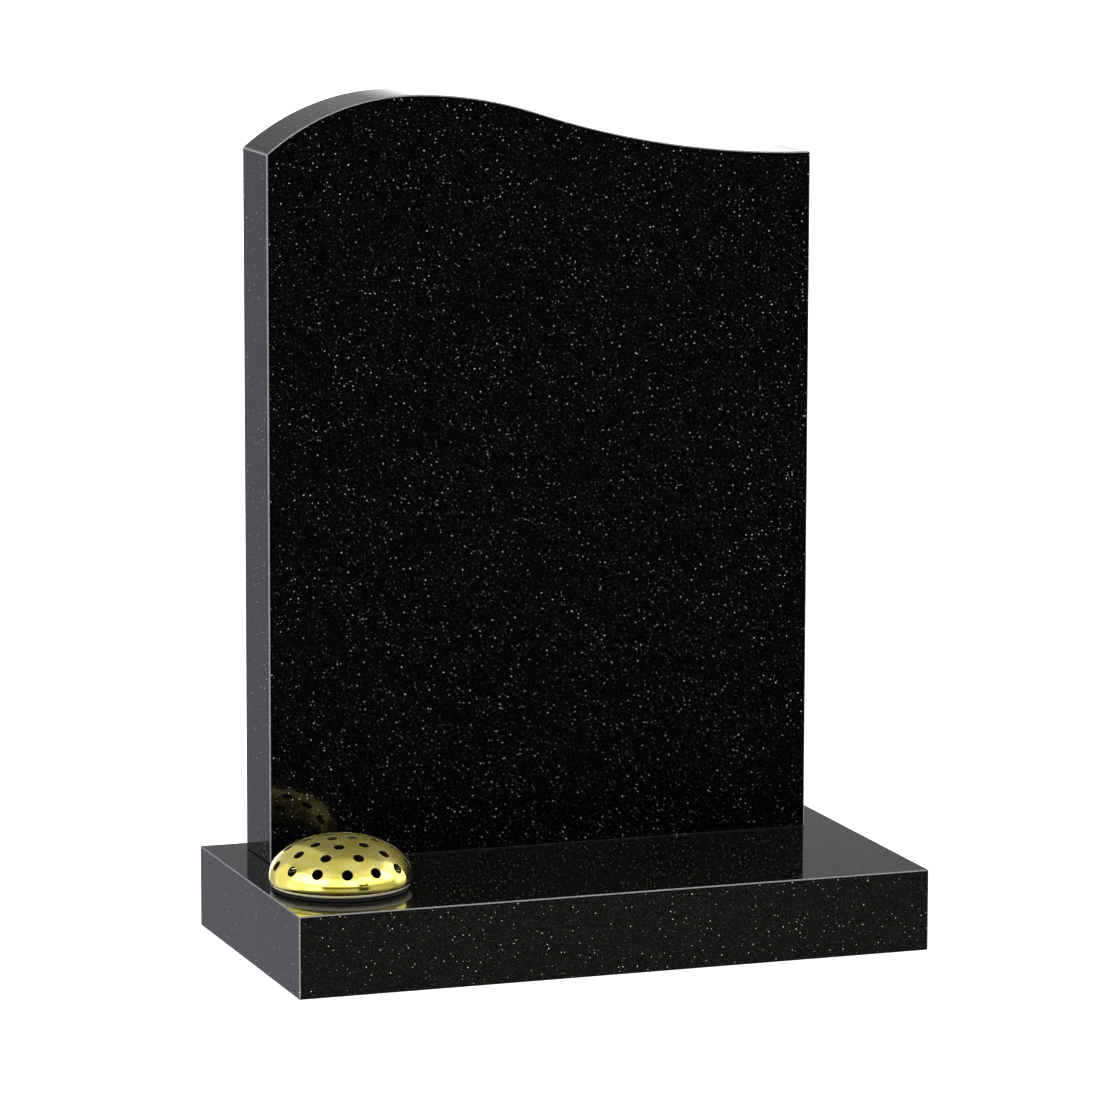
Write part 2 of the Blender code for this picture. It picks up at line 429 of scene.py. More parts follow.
@dataclass(frozen=True)
class Granite:
    """Black granite: a near-black ground with fine pale and golden flecks."""

    name: str
    ground: Colour
    haze: Colour
    cut: StoneCut = StoneCut.POLISHED
    roughness: float = 0.02
    refraction: float = 1.28
    golden_from: float = 0.55
    golden_softness: float = 0.25
    pale_fleck: Colour = (0.94, 0.97, 1.0)
    golden_fleck: Colour = (1.0, 0.88, 0.62)
    fleck_core: float = 0.55
    patch_scale: float = 60.0
    crowding: tuple[float, float] = (2.4, -0.2)
    grain_scale: float = 650.0
    grain_step: tuple[float, float] = (0.48, 0.68)
    polish_wear: float = 0.01
    dust: float = 0.15
    relief_strength: float = 0.35
    relief_depth: float = 0.0004
    layers: tuple[FleckLayer, ...] = (
        FleckLayer(spacing=0.0015, reach=(0.18, 0.34), share=0.50, brightness=0.035, fade=1.2),
        FleckLayer(spacing=0.0022, reach=(0.14, 0.21), share=0.43, brightness=0.36, fade=2.6),
        FleckLayer(spacing=0.0037, reach=(0.10, 0.14), share=0.75, brightness=1.40, fade=2.2),
    )

    def flecks(self, recipe: Recipe, place: object, layer: FleckLayer) -> tuple[object, object]:
        """The brightness and tint of one layer of flecks.

        Args:
            recipe: The material's recipe.
            place: The place that the pattern is read at.
            layer: The layer's sizes.

        Returns:
            The sockets of the brightness and of a random number per fleck.
        """
        cells = recipe.node("ShaderNodeTexVoronoi", feature="F1", voronoi_dimensions="3D")
        recipe.feed(cells.inputs["Vector"], place)
        cells.inputs["Scale"].default_value = 1.0 / layer.spacing
        chance = recipe.node("ShaderNodeSeparateColor")
        recipe.feed(chance.inputs["Color"], cells.outputs["Color"])
        small, large = layer.reach
        radius = recipe.math("MULTIPLY_ADD", chance.outputs["Red"], large - small, small)
        core = recipe.math("MULTIPLY", radius, self.fleck_core)
        spot = recipe.ramp(cells.outputs["Distance"], radius, core)
        shown = recipe.math("LESS_THAN", chance.outputs["Green"], layer.share)
        glow = recipe.math("POWER", chance.outputs["Blue"], layer.fade)
        seen = recipe.math("MULTIPLY", recipe.math("MULTIPLY", spot, shown), glow)
        return recipe.math("MULTIPLY", seen, layer.brightness), chance.outputs["Red"]

    def material(self) -> bpy.types.Material:
        """Makes the material.

        Returns:
            The material.
        """
        material, recipe, shader = new_recipe(self.name)
        place = recipe.node("ShaderNodeTexCoord").outputs["Object"]
        patches = recipe.noise(place, self.patch_scale)
        crowd = recipe.math("MULTIPLY_ADD", patches, *self.crowding, clamp=True)
        grain = recipe.noise(place, self.grain_scale)
        mottle = recipe.ramp(grain, *self.grain_step)
        colour = recipe.blend(mottle, self.ground, self.haze)
        for layer in self.layers:
            glow, tint = self.flecks(recipe, place, layer)
            lit = recipe.math("MULTIPLY", glow, crowd)
            golden = self.golden_from + self.golden_softness
            warmth = recipe.ramp(tint, self.golden_from, golden)
            fleck = recipe.blend(warmth, self.pale_fleck, self.golden_fleck)
            colour = recipe.blend(lit, colour, fleck)
        recipe.feed(shader.inputs["Base Color"], colour)
        if self.cut in (StoneCut.POLISHED, StoneCut.ARRIS):
            wear = recipe.math("MULTIPLY_ADD", mottle, self.polish_wear, self.roughness)
            recipe.feed(shader.inputs["Roughness"], wear)
        else:
            dust = recipe.math("MULTIPLY_ADD", grain, self.dust, self.roughness)
            recipe.feed(shader.inputs["Roughness"], dust)
            relief = recipe.relief(grain, self.relief_strength, self.relief_depth)
            recipe.feed(shader.inputs["Normal"], relief)
        recipe.feed(shader.inputs["IOR"], self.refraction)
        return material


class LidPart(Enum):
    """The three surfaces of the lid, by their materials: the mirror gold, a painted highlight on
    the hole edges and the under-edge, and painted shade inside.
    """

    MIRROR = 0
    # Painted highlight: a pale, barely metallic gold on the rounded hole edges and the lower half
    # of the rolled edge, standing in for the light they catch.
    RIM = 1
    # Painted shade: a near-black gold on the underside and the hole walls, where shade falls.
    INSIDE = 2


@dataclass(frozen=True)
class GoldMetal:
    """Gold-coloured metal with faint clouds in its colour, duller towards the crown.

    How metallic it is goes from bare below the worn heights to worn above them.
    """

    name: str
    colour: Colour
    deep: Colour
    roughness: float
    bare: float
    worn: float
    worn_heights: tuple[float, float] = (0.092, 0.118)
    worn_roughness: float = 0.14
    spread: float = 0.03
    cloud_scale: float = 45.0
    cloud_detail: float = 4.0
    cloud_step: tuple[float, float] = (0.35, 0.75)

    def material(self) -> bpy.types.Material:
        """Makes the material.

        Returns:
            The material.
        """
        material, recipe, shader = new_recipe(self.name)
        place = recipe.node("ShaderNodeTexCoord").outputs["Object"]
        clouds = recipe.noise(place, self.cloud_scale, self.cloud_detail)
        tone = recipe.ramp(clouds, *self.cloud_step)
        recipe.feed(shader.inputs["Base Color"], recipe.blend(tone, self.colour, self.deep))
        height = recipe.node("ShaderNodeSeparateXYZ")
        recipe.feed(height.inputs["Vector"], place)
        picked_out = recipe.ramp(height.outputs["Z"], *self.worn_heights)
        wear = recipe.math("MULTIPLY_ADD", clouds, self.spread, self.roughness)
        wear = recipe.math("MULTIPLY_ADD", picked_out, self.worn_roughness, wear)
        recipe.feed(shader.inputs["Roughness"], wear)
        metal = recipe.math("MULTIPLY_ADD", picked_out, self.worn - self.bare, self.bare)
        recipe.feed(shader.inputs["Metallic"], metal)
        return material


@dataclass(frozen=True)
class DarkPlastic:
    """Satin black moulded plastic."""

    name: str = "satin_black_plastic"
    colour: Colour = (0.003, 0.003, 0.003)
    scuffed: Colour = (0.010, 0.010, 0.009)
    roughness: float = 0.55
    refraction: float = 1.25
    pore_scale: float = 1400.0
    pore_detail: float = 3.0
    scuff_scale: float = 70.0
    scuff_detail: float = 5.0
    scuff_step: tuple[float, float] = (0.45, 0.75)
    scuff_wear: float = 0.15
    relief_strength: float = 0.12
    relief_depth: float = 0.0002

    def material(self) -> bpy.types.Material:
        """Makes the material.

        Returns:
            The material.
        """
        material, recipe, shader = new_recipe(self.name)
        place = recipe.node("ShaderNodeTexCoord").outputs["Object"]
        pores = recipe.noise(place, self.pore_scale, self.pore_detail)
        scuffs = recipe.noise(place, self.scuff_scale, self.scuff_detail)
        worn = recipe.ramp(scuffs, *self.scuff_step)
        recipe.feed(shader.inputs["Base Color"], recipe.blend(worn, self.colour, self.scuffed))
        wear = recipe.math("MULTIPLY_ADD", worn, self.scuff_wear, self.roughness)
        recipe.feed(shader.inputs["Roughness"], wear)
        relief = recipe.relief(pores, self.relief_strength, self.relief_depth)
        recipe.feed(shader.inputs["Normal"], relief)
        recipe.feed(shader.inputs["IOR"], self.refraction)
        return material


def finish_at_foot(face: bpy.types.MeshPolygon) -> int:
    """The number of a stone's finish at its foot: sawn underneath, polished at the side."""
    cut = StoneCut.SAWN if face.normal.z < -MOSTLY_LEVEL else StoneCut.POLISHED
    return cut.value


def is_arris(mesh: bpy.types.Mesh, face: bpy.types.MeshPolygon, width: float) -> bool:
    """Whether a face is one of the narrow facets of a rounded edge.

    Args:
        mesh: The piece's mesh.
        face: A face of it.
        width: How far the rounding reaches from the edge.

    Returns:
        Whether the face is as narrow as a facet.
    """
    corners = [mesh.vertices[number].co for number in face.vertices]
    around = sum((end - start).length for start, end in zip(corners, corners[1:] + corners[:1]))
    return 2 * face.area / around < width / 2


def give_finishes(
    obj: bpy.types.Object,
    finishes: Sequence[bpy.types.Material],
    choose: Callable[[bpy.types.MeshPolygon], int],
) -> None:
    """Gives each face of a piece one of its finishes.

    Args:
        obj: The piece.
        finishes: The piece's materials.
        choose: Picks the number of a face's material.
    """
    obj.data.materials.clear()
    for finish in finishes:
        obj.data.materials.append(finish)
    for face in obj.data.polygons:
        face.material_index = choose(face)


@dataclass
class Tablet:
    """The upright stone, with its top in one long wave."""

    stones: tuple[Granite, ...]
    crest_from_left: float = 0.1397
    left_drop: float = 0.0508
    right_drop: float = 0.0635
    fall_radius: float = 0.385
    arris: float = 0.0011
    arris_facets: int = 4
    rise_steps: int = 40
    fall_steps: int = 48
    hollow_steps: int = 48
    node: str = "headstone_tablet"

    def build(self) -> bpy.types.Object:
        """Sweeps the top edge through its three arcs, then draws the stone down to its foot.

        Returns:
            The finished tablet.
        """
        low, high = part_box(self.node)
        middle = (low.y + high.y) / 2
        crest_x = low.x + self.crest_from_left
        left_top = high.z - self.left_drop
        right_top = high.z - self.right_drop
        rise_radius = (self.crest_from_left**2 + self.left_drop**2) / (2 * self.left_drop)
        across = high.x - crest_x
        above = right_top - (high.z - self.fall_radius)
        hollow_radius = across**2 + above**2 - self.fall_radius**2
        hollow_radius /= 2 * (self.fall_radius - above)
        tangent = math.asin(across / (self.fall_radius + hollow_radius))

        deselect_all()
        bpy.ops.mesh.primitive_plane_add(size=high.y - low.y, location=(low.x, middle, left_top))
        obj = set_down("granite_tablet")
        with editing(obj):
            bpy.ops.mesh.select_all(action="SELECT")
            bpy.ops.transform.resize(
                value=(0.0, 1.0, 1.0), center_override=(low.x, middle, left_top)
            )
            bpy.ops.mesh.remove_doubles(threshold=MERGE_DISTANCE)
            bpy.ops.mesh.select_all(action="SELECT")
            rise = math.asin(self.crest_from_left / rise_radius)
            sweeps = (
                (rise, crest_x, high.z - rise_radius, self.rise_steps),
                (tangent, crest_x, high.z - self.fall_radius, self.fall_steps),
                (-tangent, high.x, right_top + hollow_radius, self.hollow_steps),
            )
            for angle, x, z, steps in sweeps:
                bpy.ops.mesh.spin(
                    steps=steps, angle=-angle, center=(x, middle, z), axis=Axis.Y.value
                )
            bpy.ops.mesh.select_all(action="SELECT")
            bpy.ops.mesh.extrude_region_move(
                TRANSFORM_OT_translate={"value": (0.0, 0.0, low.z - left_top)}
            )
            bpy.ops.transform.resize(value=(1.0, 1.0, 0.0), center_override=(0.0, 0.0, low.z))
        close_up(obj)
        with editing(obj):
            bpy.ops.mesh.select_all(action="SELECT")
            bpy.ops.mesh.dissolve_limited(angle_limit=FLAT_ANGLE)
        round_edges(obj, self.arris, self.arris_facets)
        foot = low.z + self.arris

        def cut_of(face: bpy.types.MeshPolygon) -> int:
            """The number of a face's finish."""
            if face.center.z < foot:
                return finish_at_foot(face)
            # Rounded edges facing the front and the sides get the painted arris highlight, a pale
            # ground in place of their glint; those facing back stay polished.
            picked_out = face.normal.y < FACING_BACK and is_arris(obj.data, face, self.arris)
            return StoneCut.ARRIS.value if picked_out else StoneCut.POLISHED.value

        give_finishes(obj, [stone.material() for stone in self.stones], cut_of)
        hand_in(obj, self.node)
        return obj


@dataclass
class BaseSlab:
    """The low slab that carries the tablet, with the bore for the flower container."""

    stones: tuple[Granite, ...]
    flange_bearing: float = 0.012
    arris: float = 0.0011
    arris_facets: int = 4
    bore_sides: int = 128
    overrun: float = 0.01
    node: str = "base_slab"

    def build(self) -> bpy.types.Object:
        """Cuts the slab to size, bores it and rounds its edges.

        Returns:
            The finished slab.
        """
        low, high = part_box(self.node)
        size = high - low
        middle = (low + high) / 2
        flange_low, flange_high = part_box("flower_container")
        axis = (flange_low + flange_high) / 2
        bore = (flange_high.x - flange_low.x) / 2 - self.flange_bearing

        deselect_all()
        bpy.ops.mesh.primitive_cube_add(size=1.0, location=middle, scale=size)
        obj = set_down("granite_base")
        deselect_all()
        bpy.ops.mesh.primitive_cylinder_add(
            vertices=self.bore_sides,
            radius=bore,
            depth=size.z + 2 * self.overrun,
            location=(axis.x, axis.y, middle.z),
        )
        drill = set_down("bore_drill")
        finish_with(obj, "BOOLEAN", "bore", operation="DIFFERENCE", solver="EXACT", object=drill)
        bpy.data.objects.remove(drill, do_unlink=True)
        round_edges(obj, self.arris, self.arris_facets)
        foot = low.z + self.arris

        def cut_of(face: bpy.types.MeshPolygon) -> int:
            """The number of a face's finish."""
            if face.center.z < foot:
                return finish_at_foot(face)
            # Rounded edges facing the front and the sides get the painted arris highlight, a pale
            # ground in place of their glint.
            if face.normal.y < FACING_BACK and is_arris(obj.data, face, self.arris):
                return StoneCut.ARRIS.value
            out = math.hypot(face.center.x - axis.x, face.center.y - axis.y)
            bored = abs(face.normal.z) < MOSTLY_LEVEL and out < bore + MERGE_DISTANCE
            return StoneCut.CORED.value if bored else StoneCut.POLISHED.value

        give_finishes(obj, [stone.material() for stone in self.stones], cut_of)
        hand_in(obj, self.node)
        return obj


@dataclass
class FlowerContainer:
    """The pot that drops into the bore and hangs by its flange."""

    finish: DarkPlastic
    wall: float = 0.0025
    flange_thickness: float = 0.003
    flange_bearing: float = 0.012
    bore_clearance: float = 0.0015
    seat_height: float = 0.004
    seat_from_rim: float = 0.0045
    seat_wall: float = 0.002
    rounding: float = 0.0006
    rounding_facets: int = 3
    sides: int = 128
    node: str = "flower_container"

    def build(self) -> bpy.types.Object:
        """Draws the pot up from its floor, out over the flange and back down its inside.

        Returns:
            The finished container.
        """
        low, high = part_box(self.node)
        axis = (low + high) / 2
        flange = (high.x - low.x) / 2
        outside = flange - self.flange_bearing - self.bore_clearance
        mouth = outside - self.wall
        seat_outside = flange - self.seat_from_rim
        seat_inside = seat_outside - self.seat_wall
        flange_top = high.z - low.z - self.seat_height
        flange_foot = flange_top - self.flange_thickness
        rings = (
            (outside, 0.0),
            (outside, flange_foot),
            (flange, flange_foot),
            (flange, flange_top),
            (seat_outside, flange_top),
            (seat_outside, high.z - low.z),
            (seat_inside, high.z - low.z),
            (seat_inside, flange_top),
            (mouth, flange_top),
            (mouth, self.wall),
        )
        obj = turned_solid("container_pot", (axis.x, axis.y, low.z), rings, self.sides)
        round_edges(obj, self.rounding, self.rounding_facets)
        give_finishes(obj, (self.finish.material(),), lambda face: 0)
        hand_in(obj, self.node)
        return obj


@dataclass(frozen=True)
class HoleRing:
    """A ring of stem holes, with the band of the dome that it is cut from."""

    radius: float
    count: int
    turn: float
    inner: float
    outer: float
    sides: int


@dataclass
class ContainerLid:
    """The domed lid, pierced for stems, with its lower edge rolled under."""

    mirror: GoldMetal
    # The rim material paints a highlight on the hole edges and the under-edge.
    rim: GoldMetal
    # The inside material paints shade on the underside and the hole walls.
    inside: GoldMetal
    edge_height: float = 0.008
    edge_roll: float = 0.006
    foot_width: float = 0.0015
    wall: float = 0.002
    hole_radius: float = 0.00525
    hole_rounding: float = 0.0010
    rounding_facets: int = 4
    rings: tuple[HoleRing, ...] = (
        HoleRing(radius=0.0134, count=4, turn=39.0, inner=0.0050, outer=0.0218, sides=12),
        HoleRing(radius=0.0310, count=8, turn=25.0, inner=0.0218, outer=0.0396, sides=13),
        HoleRing(radius=0.0479, count=10, turn=20.5, inner=0.0396, outer=0.0550, sides=11),
        HoleRing(radius=0.0615, count=14, turn=1.0, inner=0.0550, outer=0.0655, sides=8),
    )
    vertices_around: int = 280
    band_cuts: int = 4
    side_steps: int = 8
    edge_steps: int = 10
    former_rings: int = 120
    crown_shares: tuple[float, ...] = (0.70, 0.55, 0.40)
    dome_facing: float = 0.995
    inside_facing: float = 0.05
    node: str = "container_lid"

    def measure(self) -> None:
        """Takes the lid's place and size from the frame."""
        low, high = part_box(self.node)
        self.axis_foot = Vector(((low.x + high.x) / 2, (low.y + high.y) / 2, low.z))
        self.radius = (high.x - low.x) / 2
        self.rise = high.z - low.z - self.edge_height
        self.holes = self.hole_axes()

    def dome_height(self, radius: float) -> float:
        """The height of the dome above the lid's foot.

        Args:
            radius: The distance from the lid's axis.

        Returns:
            The height of the outside there.
        """
        share = min(1.0, radius / self.radius)
        return self.edge_height + self.rise * math.sqrt(1 - share * share)

    def former(self) -> bpy.types.Object:
        """The smooth dome that the lid is pressed over, standing at the frame's origin.

        Returns:
            The former.
        """
        quarter = math.pi / 2
        rings = []
        for number in range(self.former_rings, 0, -1):
            radius = self.radius * math.sin(quarter * number / self.former_rings)
            rings.append((radius, self.dome_height(radius)))
        return turned_solid("lid_former", (0.0, 0.0, 0.0), rings, self.vertices_around)

    def press(self, obj: bpy.types.Object, former: bpy.types.Object) -> None:
        """Drops a flat piece onto the former along its own Z axis.

        Args:
            obj: The piece to press.
            former: The former.
        """
        finish_with(
            obj,
            "SHRINKWRAP",
            "pressed",
            wrap_method="PROJECT",
            use_project_z=True,
            use_positive_direction=False,
            use_negative_direction=True,
            target=former,
        )

    def hole_outline(
        self, ring: HoleRing, corners: int, former: bpy.types.Object
    ) -> bpy.types.Object:
        """The plan of a round hole that is drilled square to the dome's slope.

        Args:
            ring: The ring that the hole belongs to.
            corners: How many vertices the outline has.
            former: The former that it is laid on.

        Returns:
            The outline, flat again, over the X axis.
        """
        height = self.dome_height(ring.radius)
        slope = self.rise * ring.radius
        rise = self.radius * math.sqrt(self.radius**2 - ring.radius**2)
        lean = math.atan2(slope, rise)
        clear = self.edge_roll
        place = (
            ring.radius + clear * math.sin(lean),
            0.0,
            height + clear * math.cos(lean),
        )
        deselect_all()
        bpy.ops.mesh.primitive_circle_add(
            vertices=corners, radius=self.hole_radius, location=place, rotation=(0.0, lean, 0.0)
        )
        outline = bpy.context.object
        outline.name = "hole_outline"
        self.press(outline, former)
        take_up(outline)
        bpy.ops.object.transform_apply(location=True, rotation=True, scale=True)
        with editing(outline):
            bpy.ops.mesh.select_all(action="SELECT")
            bpy.ops.transform.resize(value=(1.0, 1.0, 0.0), center_override=(0.0, 0.0, 0.0))
        return outline

    def pierced_band(self, ring: HoleRing, former: bpy.types.Object) -> bpy.types.Object:
        """A flat ring of the lid's blank, one sector with its hole modelled and then turned.

        Args:
            ring: The holes and the band around them.
            former: The former that the holes are laid out on.

        Returns:
            The band, flat about the frame's Z axis.
        """
        sector = math.tau / ring.count
        arcs = self.vertices_around // ring.count
        width = ring.outer - ring.inner
        centre = (0.0, 0.0, 0.0)
        deselect_all()
        bpy.ops.mesh.primitive_plane_add(size=width, location=(ring.inner + width / 2, 0.0, 0.0))
        band = set_down("lid_band")
        with editing(band):
            bpy.ops.mesh.select_all(action="SELECT")
            bpy.ops.transform.resize(value=(1.0, 0.0, 1.0), center_override=centre)
            bpy.ops.mesh.remove_doubles(threshold=MERGE_DISTANCE)
            bpy.ops.mesh.select_all(action="SELECT")
            bpy.ops.mesh.subdivide(number_cuts=ring.sides - 1)
            bpy.ops.mesh.select_all(action="SELECT")
            bpy.ops.mesh.spin(steps=arcs, angle=sector, axis=Axis.Z.value)
            bpy.ops.mesh.select_all(action="SELECT")
            bpy.ops.mesh.dissolve_faces()
            bpy.ops.mesh.delete(type="ONLY_FACE")
            bpy.ops.mesh.select_all(action="SELECT")
            bpy.ops.transform.rotate(value=-sector / 2, orient_axis="Z", center_override=centre)
        outline = self.hole_outline(ring, 2 * (arcs + ring.sides), former)
        self.join([outline, band])
        turn = self.whole_steps(math.radians(ring.turn) - sector / 2) + sector / 2
        with editing(band):
            bpy.ops.mesh.select_all(action="SELECT")
            bpy.ops.mesh.bridge_edge_loops(number_cuts=self.band_cuts, interpolation="LINEAR")
            bpy.ops.mesh.select_all(action="SELECT")
            bpy.ops.transform.rotate(value=-turn, orient_axis="Z", center_override=centre)
            bpy.ops.mesh.select_all(action="SELECT")
            bpy.ops.mesh.spin(
                steps=ring.count - 1,
                angle=math.tau - sector,
                axis=Axis.Z.value,
                dupli=True,
            )
        return band

    def whole_steps(self, angle: float) -> float:
        """An angle set to the nearest whole step of the bands' vertices.

        Args:
            angle: The angle wanted.

        Returns:
            The angle that the bands can be joined at.
        """
        step = math.tau / self.vertices_around
        return round(angle / step) * step

    def join(self, pieces: Sequence[bpy.types.Object]) -> None:
        """Joins pieces into the last of them.

        Args:
            pieces: The pieces.
        """
        deselect_all()
        for piece in pieces:
            piece.select_set(True)
        bpy.context.view_layer.objects.active = pieces[-1]
        bpy.ops.object.join()

    def crown(self) -> bpy.types.Object:
        """The small unpierced disc in the middle of the blank.

        Returns:
            The disc, of rings of faces that close in a fan.
        """
        deselect_all()
        bpy.ops.mesh.primitive_circle_add(
            vertices=self.vertices_around, radius=self.rings[0].inner
        )
        disc = set_down("lid_crown")
        with editing(disc):
            bpy.ops.mesh.select_all(action="SELECT")
            for share in self.crown_shares:
                bpy.ops.mesh.extrude_region_move()
                bpy.ops.transform.resize(
                    value=(share, share, 1.0), center_override=(0.0, 0.0, 0.0)
                )
            bpy.ops.mesh.edge_face_add()
        return disc

    def part_of(self, face: bpy.types.MeshPolygon) -> int:
        """Which of the lid's surfaces a face belongs to.

        Args:
            face: A face of the lid while it stands at the frame's origin.

        Returns:
            The number of its finish.
        """
        place = face.center
        if place.z < self.edge_height:
            outside = math.hypot(place.x, place.y) > self.radius - self.edge_roll
            # The lower half of the rolled edge gets the painted rim highlight.
            under = outside and place.z < self.edge_roll / 2
            return (LidPart.RIM if under else LidPart.MIRROR).value
        out = Vector(
            (
                place.x / self.radius**2,
                place.y / self.radius**2,
                (place.z - self.edge_height) / self.rise**2,
            )
        ).normalized()
        facing = face.normal.dot(out)
        # Faces turned away from the dome's outside get the painted inside shade.
        if facing > self.dome_facing or facing < self.inside_facing:
            return (LidPart.MIRROR if facing > self.dome_facing else LidPart.INSIDE).value
        # The rounded hole edges get the painted rim highlight.
        reach = self.hole_radius + self.hole_rounding
        for centre, axis in self.holes:
            away = place - centre
            along = away.dot(axis)
            if (away - axis * along).length < reach and along > -2 * self.wall:
                return LidPart.RIM.value
        return LidPart.MIRROR.value

    def hole_axes(self) -> list[tuple[Vector, Vector]]:
        """The middle and the outward axis of every hole, while the lid stands at the origin.

        Returns:
            The middles and axes.
        """
        holes = []
        for ring in self.rings:
            sector = math.tau / ring.count
            first = self.whole_steps(math.radians(ring.turn) - sector / 2) + sector / 2
            height = self.dome_height(ring.radius)
            for number in range(ring.count):
                turn = first + number * sector
                around = Vector((math.cos(turn), math.sin(turn), 0.0))
                axis = around * (ring.radius / self.radius**2)
                axis.z = (height - self.edge_height) / self.rise**2
                centre = around * ring.radius
                centre.z = height
                holes.append((centre, axis.normalized()))
        return holes

    def draw_edge(self, lid: bpy.types.Object) -> None:
        """Draws the pressed sheet down its side, round the rolled edge and in under the foot.

        Args:
            lid: The pressed sheet, at the frame's origin.
        """
        rim = self.rings[-1].outer
        quarter = math.pi / 2
        start = math.asin(rim / self.radius)
        foot_radius = self.radius - self.edge_roll
        rings = []
        for number in range(1, self.side_steps + 1):
            turn = start + (quarter - start) * number / self.side_steps
            height = self.edge_height + self.rise * math.cos(turn)
            rings.append((self.radius * math.sin(turn), height))
        for number in range(1, self.edge_steps + 1):
            turn = quarter * number / self.edge_steps
            radius = foot_radius + self.edge_roll * math.cos(turn)
            rings.append((radius, self.edge_height * (1 - math.sin(turn))))
        rings.append((foot_radius - self.foot_width, 0.0))
        with editing(lid):
            select_vertices(lid, lambda co: math.hypot(co.x, co.y) > rim - MERGE_DISTANCE)
            radius, height = rim, self.dome_height(rim)
            for next_radius, next_height in rings:
                bpy.ops.mesh.extrude_region_move(
                    TRANSFORM_OT_translate={"value": (0.0, 0.0, next_height - height)}
                )
                grow = next_radius / radius
                bpy.ops.transform.resize(
                    value=(grow, grow, 1.0), center_override=(0.0, 0.0, 0.0)
                )
                radius, height = next_radius, next_height

    def build(self) -> bpy.types.Object:
        """Presses the pierced blank over the former, rolls its edge and gives it its wall.

        Returns:
            The finished lid.
        """
        self.measure()
        former = self.former()
        bands = [self.crown()] + [self.pierced_band(ring, former) for ring in self.rings]
        self.join(bands)
        lid = bands[-1]
        lid.name = "gold_lid"
        lid.data.name = "gold_lid"
        above = self.edge_height + 2 * self.rise
        with editing(lid):
            bpy.ops.mesh.select_all(action="SELECT")
            bpy.ops.mesh.remove_doubles(threshold=MERGE_DISTANCE)
            bpy.ops.mesh.select_all(action="SELECT")
            bpy.ops.transform.translate(value=(0.0, 0.0, above))
        self.press(lid, former)
        bpy.data.objects.remove(former, do_unlink=True)
        self.draw_edge(lid)
        close_up(lid)
        finish_with(
            lid, "SOLIDIFY", "wall", thickness=self.wall, offset=-1.0, use_even_offset=True
        )
        round_edges(lid, self.hole_rounding, self.rounding_facets)
        # The rim and inside materials are a painted highlight and painted shade.
        finishes = (self.mirror.material(), self.rim.material(), self.inside.material())
        give_finishes(lid, finishes, self.part_of)
        with editing(lid):
            bpy.ops.mesh.select_all(action="SELECT")
            bpy.ops.transform.translate(value=self.axis_foot)
        hand_in(lid, self.node)
        return lid


@dataclass(frozen=True)
class SoftPatch:
    """A soft-edged patch of the studio around the stone, by its direction.

    Azimuth 0 is straight in front of the face and 90 on its right; elevation is above the horizon.
    """

    azimuth: float
    elevation: float
    half_width: float
    half_height: float
    softness: float
    level: float
    tint: Colour = (1.0, 1.0, 1.0)

    def colour(self) -> Colour:
        """The patch's colour at its level."""
        return tuple(self.level * part for part in self.tint)


